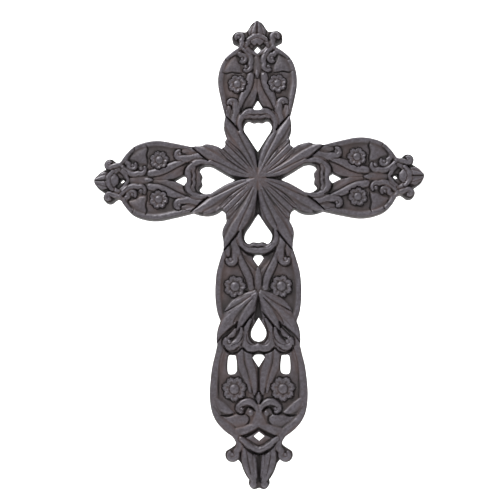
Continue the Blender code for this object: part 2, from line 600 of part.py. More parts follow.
def plan_points(edges, spacing):
    """The plan's points: those of every edge, and a grid between them that keeps off the edges."""
    low = edges[0].min(axis=0)
    high = edges[0].max(axis=0)
    across, up = np.meshgrid(np.arange(low[0], high[0], spacing), np.arange(low[1], high[1], spacing))
    x = across.ravel()
    y = up.ravel()
    gap = np.full(x.shape, spacing)
    for edge in edges:
        gap = np.minimum(gap, edge_distance(x, y, np.vstack([edge, edge[:1]]), spacing))
    clear = on_metal(x, y, edges) & (gap > 0.5 * spacing)
    return np.vstack(edges + [np.stack([x[clear], y[clear]], 1)])


def plan_mesh(edges, spacing):
    """The flat plan of the casting as triangles, every edge of the drawing kept."""
    points = plan_points(edges, spacing)
    borders = []
    first = 0
    for edge in edges:
        count = len(edge)
        borders += [(first + i, first + (i + 1) % count) for i in range(count)]
        first += count
    plan = delaunay_2d_cdt([Vector(point) for point in points], borders, [], 1, 1e-6, False)
    points = np.array([tuple(point) for point in plan[0]])
    triangles = np.array(plan[2])
    middles = points[triangles].mean(axis=1)
    kept = on_metal(middles[:, 0], middles[:, 1], edges)
    return points, triangles[kept]


def front_depth(x, y, edges, unit):
    """How far the front stands out from the flat back, in metres."""
    height = np.maximum(relief_height(x, y), DEEPEST)
    height = round_edge(x, y, height, edges, EDGE_RADIUS / unit)
    return PANEL_THICKNESS + (height - FLOOR) * RELIEF_HEIGHT / (STAR - FLOOR)


def casting_mesh(name):
    """The whole casting: its plan raised off the flat back into the carved front."""
    edges = [outline()] + holes()
    unit = CROSS_HEIGHT / np.ptp(edges[0][:, 1])
    points, triangles = plan_mesh(edges, POINT_SPACING / unit)
    plan = bmesh.new()
    corners = [plan.verts.new((x * unit, 0, y * unit)) for x, y in points]
    for triangle in triangles:
        plan.faces.new([corners[i] for i in triangle])
    raised = bmesh.ops.extrude_face_region(plan, geom=plan.faces[:], use_keep_orig=True)
    front = [item for item in raised['geom'] if isinstance(item, bmesh.types.BMVert)]
    x = np.array([corner.co.x for corner in front]) / unit
    y = np.array([corner.co.z for corner in front]) / unit
    for corner, depth in zip(front, front_depth(x, y, edges, unit)):
        corner.co.y = -depth
    unused = [corner for corner in plan.verts if not corner.link_faces]
    bmesh.ops.delete(plan, geom=unused, context='VERTS')
    bmesh.ops.recalc_face_normals(plan, faces=plan.faces[:])
    bmesh.ops.triangulate(plan, faces=plan.faces[:])
    mesh = bpy.data.meshes.new(name)
    plan.to_mesh(mesh)
    plan.free()
    return mesh


def iron():
    """Dark cast iron."""
    material = bpy.data.materials.new('cast_iron')
    material.use_nodes = True
    shader = material.node_tree.nodes['Principled BSDF']
    shader.inputs['Base Color'].default_value = IRON_COLOUR
    shader.inputs['Roughness'].default_value = IRON_ROUGHNESS
    shader.inputs['Metallic'].default_value = IRON_METALLIC
    return material


def cross(collection):
    """The cross, one casting, with its flat back on the plane y = 0."""
    mesh = casting_mesh('cross')
    mesh.materials.append(iron())
    piece = bpy.data.objects.new('cross', mesh)
    collection.objects.link(piece)
    thin = piece.modifiers.new('thin out', 'DECIMATE')
    thin.ratio = FACE_COUNT / len(mesh.polygons)
    return piece


def main():
    for item in list(bpy.data.objects):
        bpy.data.objects.remove(item)
    collection = bpy.data.collections.new('cast_iron_cross')
    bpy.context.scene.collection.children.link(collection)
    cross(collection)


main()
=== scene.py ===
import math

import bmesh
import bpy
import numpy as np
from mathutils import Matrix, Vector
from mathutils.geometry import delaunay_2d_cdt

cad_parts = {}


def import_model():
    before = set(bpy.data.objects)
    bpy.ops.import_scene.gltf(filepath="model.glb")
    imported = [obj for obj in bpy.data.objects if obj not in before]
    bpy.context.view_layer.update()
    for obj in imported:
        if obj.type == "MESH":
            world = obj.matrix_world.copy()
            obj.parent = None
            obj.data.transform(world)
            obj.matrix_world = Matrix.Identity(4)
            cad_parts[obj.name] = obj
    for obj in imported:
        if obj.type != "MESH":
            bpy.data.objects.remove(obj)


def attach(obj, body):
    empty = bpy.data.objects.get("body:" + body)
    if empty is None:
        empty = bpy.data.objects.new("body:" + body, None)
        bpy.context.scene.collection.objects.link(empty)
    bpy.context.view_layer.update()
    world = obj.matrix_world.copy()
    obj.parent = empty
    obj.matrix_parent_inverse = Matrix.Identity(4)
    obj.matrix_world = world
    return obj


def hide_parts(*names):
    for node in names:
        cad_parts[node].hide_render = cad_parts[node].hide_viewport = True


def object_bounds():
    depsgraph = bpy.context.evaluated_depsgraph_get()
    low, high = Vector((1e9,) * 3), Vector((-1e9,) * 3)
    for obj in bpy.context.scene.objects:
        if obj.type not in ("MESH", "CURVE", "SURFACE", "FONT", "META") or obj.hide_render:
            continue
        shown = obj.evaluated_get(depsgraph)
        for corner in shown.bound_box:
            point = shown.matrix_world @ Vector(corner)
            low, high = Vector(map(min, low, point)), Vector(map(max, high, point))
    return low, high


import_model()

# Driving dimensions, in metres
CROSS_HEIGHT = 0.432
PANEL_THICKNESS = 0.0076
RELIEF_HEIGHT = 0.0044
EDGE_RADIUS = 0.0012

# The mesh's point spacing, how far the mesh stays inside the solid's box, and the angle in
# degrees from which an edge counts as sharp
POINT_SPACING = 0.00066
FIT_MARGIN = 0.00001
SHARP_ANGLE = 50

# Colours of the iron
BROWN_DARK = (0.030, 0.021, 0.021, 1)
BROWN_RUST = (0.058, 0.036, 0.033, 1)
GREY_DARK = (0.056, 0.049, 0.056, 1)
GREY_SHEEN = (0.086, 0.077, 0.091, 1)
# The painted shade's near-black colour, laid into the crevices and engraved lines
PAINTED_SHADE_COLOUR = (0.006, 0.005, 0.005, 1)
METAL = 0.35

# The iron's roughness, what rubbing takes from it and what the speckle adds to it
ROUGHNESS = 0.56
RUBBED_GLOSS = 0.18
SPECKLE_ROUGHNESS = 0.10

# How much grey rubbing and height bring, and how far the painted shade darkens crevices and engraved lines
RUBBED_SHARE = 0.55
RAISED_SHARE = 0.35
SHADE = 0.85

# The cast skin's fine bumps: their strength, and their depth in metres
BUMP_STRENGTH = 0.35
BUMP_DEPTH = 0.0004

# How many rounds of averaging find the narrow hollows and the wide ones
NARROW_ROUNDS = 14
WIDE_ROUNDS = 60

# The camera, from the photograph: its turn in degrees about X, Y and Z, and the pixel of the star's middle
CAMERA_TURN = (-10.716, -3.034, 0.713)
CENTRE_PIXEL = (257.67, 177.82)
FRAME = 500
FOCAL_PIXELS = 1000
SENSOR = 36
FACE_PLANE = 0.0106

# The stage in metres: the floor's level, the wall's place, half the width and the top; its paper
FLOOR_LEVEL = -0.6
BACKDROP_AT = 2.4
BACKDROP_REACH = 6.0
BACKDROP_TOP = 3.5
PAPER = (0.92, 0.92, 0.92, 1)
PAPER_ROUGHNESS = 0.9

# The light: the sky's strength, the lamps' power in watts, and the key lamp's colour
SKY_STRENGTH = 0.60
KEY_POWER = 60
FILL_POWER = 7
BACKDROP_POWER = 130
KEY_COLOUR = (0.96, 0.98, 1.0)

# The carving is drawn in units of its own, with the star's middle at the origin. Heights in it
# count from the flat back: the sunk floor, the open ground, the raised pads, the rims, the
# scrolls and the star.
FLOOR = 8.2
GROUND = 9.4
PAD = 10.0
RIM = 11.0
SCROLL = 11.8
STAR = 13.0
DEEPEST = 6.6

# The narrow ditch beside every ridge, an engraved line, the rims, and the step along a curve
DITCH = 0.7
DITCH_WIDTH = 0.8
LINE_DEPTH = 1.2
LINE_WIDTH = 0.9
RIM_WIDTH = 6.2
WIDE_RIM = 8.4
CURVE_STEP = 1.2

# How much further the star's leaves reach down the long limb than along the others
STAR_DROP = 1.09

# The sand casting's unevenness: how high and how long its coarse and its fine waves are
COARSE_RISE = 0.06
COARSE_LENGTH = 6.0
FINE_RISE = 0.03
FINE_LENGTH = 2.4


def smooth_curve(points, step=CURVE_STEP):
    """Points along a smooth curve through a few given ones; extra columns such as a width follow."""
    points = np.array(points, dtype=float)
    if len(points) == 2:
        count = max(int(np.linalg.norm(points[1, :2] - points[0, :2]) / step), 1)
        share = np.linspace(0, 1, count + 1)[:, None]
        return points[0] * (1 - share) + points[1] * share
    before = 2 * points[0] - points[1]
    after = 2 * points[-1] - points[-2]
    padded = np.vstack([before, points, after])
    run = []
    for a, b, c, d in zip(padded, padded[1:], padded[2:], padded[3:]):
        count = max(int(np.linalg.norm(c[:2] - b[:2]) / step), 1)
        t = np.linspace(0, 1, count, endpoint=False)[:, None]
        run.append(b + 0.5 * t * (c - a + t * (2 * a - 5 * b + 4 * c - d + t * (3 * (b - c) + d - a))))
    run.append(points[-1:])
    return np.vstack(run)


def arc(centre, radius, start, end, step=CURVE_STEP):
    """Points along an arc, with its angles in degrees from the limb's own axis."""
    count = max(int(abs(math.radians(end - start)) * radius / step), 3)
    angles = np.radians(np.linspace(start, end, count + 1))
    return np.stack([centre[0] + radius * np.cos(angles), centre[1] + radius * np.sin(angles)], 1)


def join(*runs):
    """One polyline from several runs that meet end to end."""
    joined = [np.asarray(runs[0])[:, :2]]
    for run in runs[1:]:
        joined.append(np.asarray(run)[1:, :2])
    return np.vstack(joined)


def distance_to(x, y, path):
    """Distance of every point from a polyline, and the index along it of the nearest place."""
    best = np.full(x.shape, np.inf)
    place = np.zeros(x.shape)
    for i, (start, end) in enumerate(zip(path, path[1:])):
        run = end[:2] - start[:2]
        share = ((x - start[0]) * run[0] + (y - start[1]) * run[1]) / max(run @ run, 1e-12)
        share = np.clip(share, 0, 1)
        gap = np.hypot(x - start[0] - share * run[0], y - start[1] - share * run[1])
        nearer = gap < best
        best[nearer] = gap[nearer]
        place[nearer] = i + share[nearer]
    return best, place


def edge_distance(x, y, edge, reach, piece=8):
    """Distance of every point from a closed or open edge, no more than a given reach."""
    gap = np.full(x.shape, float(reach))
    for first in range(0, len(edge) - 1, piece):
        run = edge[first:first + piece + 1]
        low = run.min(axis=0) - reach
        high = run.max(axis=0) + reach
        spots = np.nonzero((x > low[0]) & (x < high[0]) & (y > low[1]) & (y < high[1]))[0]
        near, place = distance_to(x[spots], y[spots], run)
        gap[spots] = np.minimum(gap[spots], near)
    return gap


def inside_of(x, y, outline):
    """Which points lie inside a closed outline, by counting the edges that they cross."""
    inside = np.zeros(x.shape, dtype=bool)
    closed = np.vstack([outline, outline[:1]])[:, :2]
    for (ax, ay), (bx, by) in zip(closed, closed[1:]):
        if ay == by:
            continue
        crosses = (ay > y) != (by > y)
        inside ^= crosses & (x < (bx - ax) * (y - ay) / (by - ay) + ax)
    return inside


class Relief:
    """The height of the front at many points, along a limb and across it from its middle."""

    def __init__(self, along, across):
        self.along = along
        self.across = across
        self.height = np.full(along.shape, GROUND)

    def near(self, path, reach):
        """The points in the box round a path."""
        low = path[:, :2].min(axis=0) - reach
        high = path[:, :2].max(axis=0) + reach
        inside = (self.along > low[0]) & (self.along < high[0])
        return np.nonzero(inside & (self.across > low[1]) & (self.across < high[1]))[0]

    def ridge(self, points, top=SCROLL, foot=GROUND - 0.5, roundness=0.5, ditch=DITCH):
        """A rounded ridge through rows of along, across and half width, with a ditch beside it."""
        path = smooth_curve(points)
        spots = self.near(path, path[:, 2].max() + DITCH_WIDTH)
        gap, place = distance_to(self.along[spots], self.across[spots], path)
        width = np.interp(place, np.arange(len(path)), path[:, 2])
        beside = spots[(gap >= width) & (gap < width + DITCH_WIDTH)]
        beside_height = self.height[beside]
        self.height[beside] = np.minimum(beside_height, np.maximum(beside_height - ditch, DEEPEST))
        on = gap < width
        rise = foot + (top - foot) * (1 - (gap[on] / width[on]) ** 2) ** roundness
        self.height[spots[on]] = np.maximum(self.height[spots[on]], rise)

    def groove(self, points, depth):
        """A V-shaped groove through rows of along, across and half width."""
        path = smooth_curve(points)
        spots = self.near(path, path[:, 2].max())
        gap, place = distance_to(self.along[spots], self.across[spots], path)
        width = np.interp(place, np.arange(len(path)), path[:, 2])
        self.height[spots] -= depth * np.clip(1 - gap / width, 0, 1)

    def line(self, points, depth=LINE_DEPTH, width=LINE_WIDTH):
        """An engraved line through rows of along and across, finer at both ends."""
        widths = np.full(len(points), float(width))
        widths[[0, -1]] *= 0.4
        self.groove(np.column_stack([points, widths]), depth)

    def patch(self, outline, level, soften=1.2, crown=0.0, crown_reach=5.0):
        """A panel at a level of its own inside a closed outline, crowned towards its middle."""
        spots = self.near(outline, 0.0)
        spots = spots[inside_of(self.along[spots], self.across[spots], outline)]
        edge = np.vstack([outline, outline[:1]])
        gap = edge_distance(self.along[spots], self.across[spots], edge, max(soften, crown_reach))
        blend = np.clip(gap / soften, 0, 1)
        self.height[spots] = self.height[spots] * (1 - blend) + level * blend
        self.height[spots] += crown * np.clip(gap / crown_reach, 0, 1)

    def ball(self, centre, radius, top, foot=FLOOR):
        """A round knob."""
        gap = np.hypot(self.along - centre[0], self.across - centre[1]) / radius
        inside = gap < 1
        rise = foot + (top - foot) * np.sqrt(1 - gap[inside] ** 2)
        self.height[inside] = np.maximum(self.height[inside], rise)

    def volute(self, stem, centre, radius, start, sweep, width, top=SCROLL, ditch=DITCH):
        """A scroll: its stem, then a turn that tightens round a knob at its middle."""
        share = np.linspace(0, 1, max(int(abs(sweep) / 30), 3) + 1)
        angles = np.radians(start + sweep * share)
        reach = radius * (1 - 0.3 * share)
        turn = np.stack([centre[0] + reach * np.cos(angles), centre[1] + reach * np.sin(angles),
                         width * (1 - 0.45 * share)], 1)
        self.ridge(np.vstack([stem, turn]), top, ditch=ditch)
        self.ball(centre, 0.46 * radius, top + 0.3)

    def rosette(self, centre, radius, petals=7, turn=0.0, top=SCROLL, boss=0.38):
        """An open flower: ruffled petals cupped round a round boss, with a ditch about it."""
        dx = self.along - centre[0]
        dy = self.across - centre[1]
        gap = np.hypot(dx, dy)
        near = gap < radius * 1.15
        gap = gap[near]
        phase = petals * (np.arctan2(dy[near], dx[near]) - math.radians(turn))
        swell = np.cos(phase)
        edge = radius * (0.90 + 0.08 * swell - 0.10 * np.clip(swell, 0, 1) ** 12)
        share = gap / edge
        between = np.clip(-swell, 0, 1) ** 6 * np.clip(share * 1.6 - 0.5, 0, 1)
        cup = 1.2 * np.clip(1 - np.abs(share - 0.6) / 0.25, 0, 1)
        lip = 2.8 * np.clip((share - 0.86) / 0.14, 0, 1) ** 2
        petal = top - 0.3 - cup * (0.5 + 0.5 * swell) - 1.3 * between - lip
        boss_gap = gap / (boss * radius)
        dome = top - 1.4 + 2.2 * np.sqrt(np.clip(1 - boss_gap ** 2, 0, 1))
        value = np.where(boss_gap < 1, dome, petal - 1.0 * np.clip(1 - (boss_gap - 1) / 0.3, 0, 1))
        spots = np.nonzero(near)[0]
        on = share < 1
        self.height[spots[on]] = value[on]
        beside = spots[(share >= 1) & (gap < edge + DITCH_WIDTH)]
        self.height[beside] = np.minimum(self.height[beside], GROUND - DITCH)


# Half outlines, as along and across from a limb's middle

# The rolled ends beside the finials: the middle of each and its radius
SIDE_CURL = ((150.0, 16.8), 6.0)
TOP_CURL = ((149.9, 18.9), 7.2)
FOOT_CURL = ((271.4, 25.3), 7.0)

# Where the edge of the star's leaf runs on each kind of limb, from its notch to the inner corner
STAR_EDGE = {
    'top': [(64.5, 32.8), (57, 34.2), (50, 33.9), (44, 31.8), (41, 31.5), (38.4, 33.2), (35.8, 32.6)],
    'side': [(65.2, 33.6), (58, 35.8), (51, 36.7), (45, 35.8), (40, 33.6), (36.4, 31.2), (34.8, 32.2)],
    'down': [(71, 34.2), (64, 34.7), (56, 35.7), (50, 34.4), (44.4, 31.6), (40.6, 31.8), (36.6, 32.2)],
}
CORNER = (33.4, 33.4)


def finial_edge(curl, limb):
    """The tip of a short limb, as far as the rolled end beside it."""
    if limb == 'top':
        rolled = arc(*curl, -15, 122)
        tip = [(168.5, 0), (166.8, 4), (163.2, 7), (158.8, 9.6), (156.4, 12), rolled[0]]
    else:
        rolled = arc(*curl, -48, 122)
        tip = [(165.8, 0), (164.4, 4), (160.6, 8), rolled[0]]
    return join(smooth_curve(tip), rolled)


def short_limb_side(limb):
    """From the tip of a short limb back to the notch where the star's leaf starts."""
    curl = TOP_CURL if limb == 'top' else SIDE_CURL
    spread = 0.0 if limb == 'top' else 0.5
    end = finial_edge(curl, limb)
    neck = smooth_curve([end[-1], (142.0, 18.3), (138.6, 19.3)])
    belly = [(138.6, 19.3), (133, 27.5 + spread), (125, 35 + spread), (113, 39.4 + spread),
             (100, 40.4 + spread), (84, 37.5 + spread), STAR_EDGE[limb][0]]
    return join(end, neck, smooth_curve(belly))


def star_corner(limb):
    """From the notch where the star's leaf starts, along the leaf to the inner corner."""
    return smooth_curve(STAR_EDGE[limb] + [CORNER])


def long_limb_side():
    """From the lowest tip of the long limb up to the notch below the star's leaf."""
    tip = smooth_curve([(302.2, 0), (303.6, 4.6), (301.8, 8), (298, 10), (294.5, 9.6)])
    finial = smooth_curve([(294.5, 9.6), (291.6, 11.8), (286, 14.8), (279.6, 17)])
    curl = arc(*FOOT_CURL, -50, 122)
    neck = smooth_curve([curl[-1], (261.8, 22.6), (258, 23), (254.4, 25.4)])
    base = smooth_curve([(254.4, 25.4), (248, 34), (239, 41.6), (228, 45.9), (212, 47.3), (190, 45.4),
                         (176, 42.3), (166.5, 40.2)])
    acanthus = smooth_curve([(166.5, 40.2), (161, 40.9), (152, 40), (143.4, 37.2)])
    middle = smooth_curve([(143.4, 37.2), (134, 40.4), (122, 42.1), (110, 42.3), (96, 41.2), (84, 38.2),
                           STAR_EDGE['down'][0]])
    return join(tip, finial, np.vstack([finial[-1:], curl]), neck, base, acanthus, middle)


def outline():
    """The cross's whole outline, as x and y from the star's middle."""
    side = join(short_limb_side('side'), star_corner('side'))
    up_right = join(short_limb_side('top'), star_corner('top'))[:, ::-1]
    right_down = side * [1, -1]
    down = join(long_limb_side(), star_corner('down'))
    down_right = np.stack([down[::-1, 1], -down[::-1, 0]], 1)
    half = join(up_right, side[::-1], right_down, down_right)
    left = half[::-1] * [-1, 1]
    return np.vstack([half, left[1:-1]])


def mirrored(half):
    """A closed outline from the half that runs from the limb's middle and back to it."""
    return np.vstack([half, (half[::-1] * [1, -1])[1:-1]])


# The big window beside the star on each kind of limb: its lumpy outer edge, then its side down to a point
WINDOW_EDGE = {
    'top': [(60.8, 0), (59.9, 4.4), (61.8, 8.6), (60.8, 11.6), (57.2, 13.8), (52.6, 14.3), (48.5, 12.9)],
    'side': [(57.2, 0), (56.2, 4.6), (59, 8.8), (58.4, 11.8), (55.2, 14.2), (50.4, 14.9), (46, 14)],
    'down': [(65.6, 0), (64.8, 5), (66.4, 8.8), (64.8, 12), (60.4, 13.7), (56, 13.4), (52.4, 11.6)],
}
WINDOW_SIDE = {
    'top': [(43.5, 9.6), (37, 5.6), (29, 0)],
    'side': [(41, 11), (33, 6), (22.6, 0)],
    'down': [(46.5, 7.4), (41, 4), (35, 0)],
}


def window(limb):
    """The big opening beside the star: lumps at its outer edge, and a point towards the star."""
    edge = smooth_curve(WINDOW_EDGE[limb])
    side = smooth_curve([WINDOW_EDGE[limb][-1]] + WINDOW_SIDE[limb])
    return mirrored(join(edge, side))


def kite(blunt, corner, apex, half_width):
    """A small opening with a blunt end towards the star and a point away from it."""
    edge = smooth_curve([(blunt, 0), (blunt + 0.4, half_width * 0.6), (corner, half_width)], 0.8)
    side = smooth_curve([(corner, half_width), ((corner + apex) / 2, half_width * 0.52), (apex, 0)], 0.8)
    return mirrored(join(edge, side))


def teardrop():
    """The opening between the acanthus leaves."""
    return mirrored(smooth_curve([(163.6, 0), (162, 4.4), (157.5, 7.3), (152, 7), (145.6, 3.8), (139.4, 0)]))


def slot():
    """One of the two windows under the garland."""
    return smooth_curve([(176.4, 22.4), (176.2, 26), (176.6, 29.4), (185, 30.6), (193.4, 30), (195, 26.4),
                         (193, 21.8), (185, 21.2), (176.4, 22.4)])[:-1]


def diamond(centre, half_along, half_across):
    """A small four-cornered opening."""
    corners = [(centre + half_along, 0), (centre, half_across), (centre - half_along, 0)]
    return mirrored(join(smooth_curve(corners[:2], 1.0), smooth_curve(corners[1:], 1.0)))


# The small diamonds: the middle of each, half its length and half its width. The nail goes
# through the top one
DIAMOND = {'top': (137.8, 5.0, 4.6), 'side': (137.4, 2.6, 2.6), 'down': (254, 4.2, 5.3)}

# The kites: the blunt end of each, its corners, its point and half its width
SHORT_KITE = (71.6, 75.2, 84.4, 5.3)
MIDDLE_KITE = (77, 80.8, 88.8, 5.5)
GARLAND_KITE = (175.6, 178.6, 188, 6.0)


def limb_holes(limb):
    """Every opening of a limb, as along and across."""
    if limb != 'down':
        return [window(limb), kite(*SHORT_KITE), diamond(*DIAMOND[limb])]
    return [window(limb), kite(*MIDDLE_KITE), teardrop(), kite(*GARLAND_KITE),
            slot(), slot()[::-1] * [1, -1], diamond(*DIAMOND[limb])]


def turned(points, limb):
    """A limb's own along and across as x and y."""
    along = points[:, 0]
    across = points[:, 1]
    if limb == 'top':
        return np.stack([across, along], 1)
    if limb == 'right':
        return np.stack([along, across], 1)
    if limb == 'left':
        return np.stack([-along, across], 1)
    return np.stack([across, -along], 1)


def holes():
    """Every opening of the cross, as x and y."""
    kinds = {'top': 'top', 'right': 'side', 'left': 'side', 'down': 'down'}
    return [turned(hole, limb) for limb, kind in kinds.items() for hole in limb_holes(kind)]


# The carving

def carve_star(relief, stretch, point):
    """The star's leaves on half a limb, stretched along it, and the wedge at the window's point."""
    s = stretch
    r = relief
    foot = 8.6
    # the lobe beside the window, the long leaf, and the leaflets up to the inner corner
    r.ridge([(0, 0, 3), (18 * s, 3.8, 3.4), (30 * s, 8.6, 4.2), (40 * s, 13.8, 4.2), (48 * s, 18.0, 2.2)],
            12.0, foot, 0.5, 0)
    r.ridge([(0, 0, 3), (20 * s, 8.8, 4.2), (34 * s, 16.6, 6.0), (45 * s, 23.6, 6.4), (54 * s, 28.9, 5.0),
             (61 * s, 32.2, 2.8), (65.5 * s, 34.4, 1.2)], 12.6, foot, 0.5, 0)
    r.ridge([(26, 17.4, 2.0), (34 * s, 24.4, 4.2), (43 * s, 30.4, 4.6), (52 * s, 34.6, 3.2)],
            11.8, foot, 0.5, 0)
    r.ridge([(0, 0, 2), (16, 10.6, 2.8), (28, 20.8, 3.6), (37, 29.6, 3.0), (41, 33, 1.6)], 12.4, foot, 0.5, 0)
    r.ridge([(0, 0, 2), (16, 14.6, 2.8), (28, 26.4, 3.6), (36, 34.2, 2.4)], 12.6, foot, 0.5, 0)
    # creases between them, curved like the leaves, and lens hollows near the corner
    r.line([(12, 3.6), (22 * s, 7.6), (34 * s, 13.6), (46 * s, 19.2)], 1.0, 1.1)
    r.line([(22 * s, 11.4), (34 * s, 19.8), (46 * s, 28.4), (56 * s, 32.2)], 0.5, 1.2)
    r.line([(9, 4.8), (18, 10.6), (29, 18.8), (38.6 * s, 29.0)], 1.0, 1.1)
    r.line([(12, 9.4), (21, 17.2), (31, 27), (37, 33)], 0.7, 1.0)
    r.groove([(26, 18.8, 0.4), (32, 24.4, 1.5), (37, 29.4, 0.8)], 1.0)
    # the middle, and the narrow wedge that opens into the window
    r.ball((0, 0), 8.5, 12.4, 9)
    r.groove([(0.4 * point, 0, 0.4), (0.7 * point, 0, 1.5), (point, 0, 3.4), (point + 5, 0, 4.6)], 5.0)


def star_shadow(relief, drop):
    """The limb's carving stops in a sunk strip under the edge of the star's leaves."""
    edge = np.array([(0, -1), (44, 14), (48.4, 17.2), (57.5, 24), (67.4, 33.4), (67.4, 60), (0, 60)])
    edge = edge * [drop, 1]
    under = inside_of(relief.along, relief.across, edge)
    relief.height[under] = np.minimum(relief.height[under], FLOOR - 0.4)


def rim(relief, edge, start, end, width=RIM_WIDTH):
    """The rounded rim just inside the edge of the medallions."""
    spots = np.nonzero((relief.along > start) & (relief.along < end))[0]
    gap = edge_distance(relief.along[spots], relief.across[spots], edge, width)
    share = np.clip((gap / width - 0.4) / 0.6, 0, 1)
    rise = GROUND + (RIM - GROUND) * (1 - share ** 2)
    relief.height[spots] = np.maximum(relief.height[spots], rise)


def carve_short_limb(relief, curl):
    """The medallion, scrolls and finial of a short limb."""
    r = relief
    # lens panels between the rim and the volutes, and their wavy lower edge
    panel = smooth_curve([(112, 17), (112.4, 26), (112, 34), (120, 33), (127, 27.4), (130.4, 22), (124, 20),
                          (119, 17), (112, 17)])
    r.patch(panel, PAD, 1.2, 0.7)
    r.line([(111.6, 14), (111.2, 20), (112.6, 26), (111.2, 32), (112.6, 36)], 1.5, 1.0)
    # the smooth ground round the small opening, its crease and bead
    r.patch(np.array([(70, -2), (70, 13), (78, 11.4), (86, 6), (92, 2), (92, -2)], dtype=float), 8.9, 2.4)
    r.groove([(80, 0, 3.4), (85, 0, 2.2), (90, 0, 0.6)], 3.0)
    r.line([(90, 0), (98, 0), (106, 0)], 0.5, 1.2)
    r.ridge([(107, 0, 1.4), (110, 0, 2.6), (113, 0, 1.4)], 11.0)
    # V ribs with round ends, the rosette and the pad under it
    r.ridge([(74, 19, 2.4), (84, 15.6, 3.6), (92, 11.8, 4.2), (100, 8.6, 4.2), (107, 7.2, 3.8)],
            11.3, roundness=0.42)
    r.ball((108.4, 7), 4.0, 11.5)
    r.rosette((99.4, 20.4), 10.4, petals=7, turn=20)
    # the inner volute and the outer scroll at the medallion's head
    r.volute([(126, 31.4, 1.2), (132, 25, 2.2), (133.4, 19.4, 2.6)], (126.2, 15.2), 4.6, 22, -235, 2.8)
    r.volute([(140, 17.6, 2.6), (135, 11.2, 3.0), (129.6, 7.4, 3.2), (124, 6.2, 3.2)],
             (117.6, 11.6), 5.4, -55, -150, 3.0)
    r.ridge([(133.6, 0, 2.4), (125, 0, 3.2), (118, 0, 5.0), (112.6, 0, 3.4)], 10.3, GROUND, ditch=0)
    # the volute over the star's leaf, and the leaf beside it
    r.volute([(52, 25.6, 4.2), (62, 23.4, 4.8), (71, 21.8, 4.6)], (78.6, 26.6), 4.6, -115, 200, 3.4)
    r.ridge([(62, 30, 2.4), (69, 28.8, 3.2), (75, 29, 2.2)], 10.6)
    # the moustache over the big opening
    r.ridge([(46, 16.4, 2.0), (58, 18.2, 3.0), (65, 15.6, 3.8), (69.6, 9.6, 4.0), (70, 3.6, 3.8),
             (69.4, 0, 3.6)])
    r.ridge([(63.6, 12, 1.4), (65.2, 8, 1.8), (64, 3.8, 1.8), (64.8, 0, 1.8)], 10.6)
    r.line([(66, 17.6), (72.4, 12.6), (74.4, 6.4), (74, 0)], 1.6, 1.2)
    # the finial: petals, collar and keeled leaf
    r.ridge([(139, 10.5, 2.0), (134.6, 7.0, 2.4), (131.5, 1, 2.2)], 11.0)
    r.ridge([(141, 12, 2.6), (146.5, 8.0, 3.4), (144.6, 3.6, 2.4)], 11.2)
    r.groove([(134, 0, 2.0), (140, 0, 3.2), (146.6, 0, 2.2)], 3.6)
    r.ridge([(147, 0, 7), (156, 0, 9.5), (161, 0, 6.5), (167, 0, 2)], 11.8, roundness=0.4)
    r.line([(151, 0), (158, 0), (166, 0)], 1.8, 1.8)
    r.line([(151, 6.8), (158, 5.2), (164, 2.6)], 1.0, 1.1)
    r.ridge([(147, 9.4, 2.2), (150.4, 4.6, 2.4), (151.4, 0, 2.4)], 12.0)
    centre, radius = curl
    r.volute([(127, 32.6, 1.4), (133, 25.4, 2.8), (138.6, 19, 3.4), (143.6, 15.6, 3.0)],
             centre, 0.6 * radius, 215, 260, 2.9)


def carve_middle(relief):
    """The long limb's middle medallion, from the star to the acanthus."""
    r = relief
    # the sunk ground round the small opening, and the spine below it
    r.patch(np.array([(77, -2), (77, 16), (84, 12.6), (91, 6.4), (97, 1), (97, -2)], dtype=float), 8.5, 1.6)
    r.ridge([(92, 0, 1.6), (99, 0, 3.4), (107, 0, 4.2), (113, 0, 3.4)], 10.8, ditch=0)
    # V ribs with round ends, over a dark line
    r.ridge([(73, 19.6, 2.2), (79, 18.4, 2.8), (86, 15.8, 3.4), (94, 12.0, 3.8), (102, 8.6, 3.6),
             (109, 7.4, 3.2)], 11.3, roundness=0.42)
    r.ball((111, 6.8), 3.8, 11.5)
    r.line([(113.2, 1.4), (115.6, 5.6), (115, 9.6), (113.6, 13.6)], 2.0, 1.3)
    # the volute, the leaf beside it and the rosette
    r.volute([(57, 25.2, 4.6), (66, 23.4, 4.8), (75, 22.0, 4.4)], (82.6, 27.2), 4.9, -118, 205, 3.4)
    r.ridge([(65, 31, 2.2), (72, 29.6, 3.0), (78, 29.6, 2.0)], 10.6)
    r.rosette((109.6, 22.8), 11.8, petals=7, turn=10, boss=0.4)
    # the moustache under the big opening
    r.ridge([(50, 17.6, 2.0), (61, 18.2, 2.8), (67, 16, 3.4), (71.4, 11.4, 3.6), (73.4, 5.6, 3.4),
             (73.6, 0, 3.2)])
    r.ridge([(67, 12.4, 1.4), (69, 8, 1.8), (67.8, 3.6, 1.8), (68.8, 0, 1.8)], 10.6)
    r.line([(70, 17.2), (75.6, 12), (77.8, 5.6), (77.6, 0)], 2.2, 1.6)


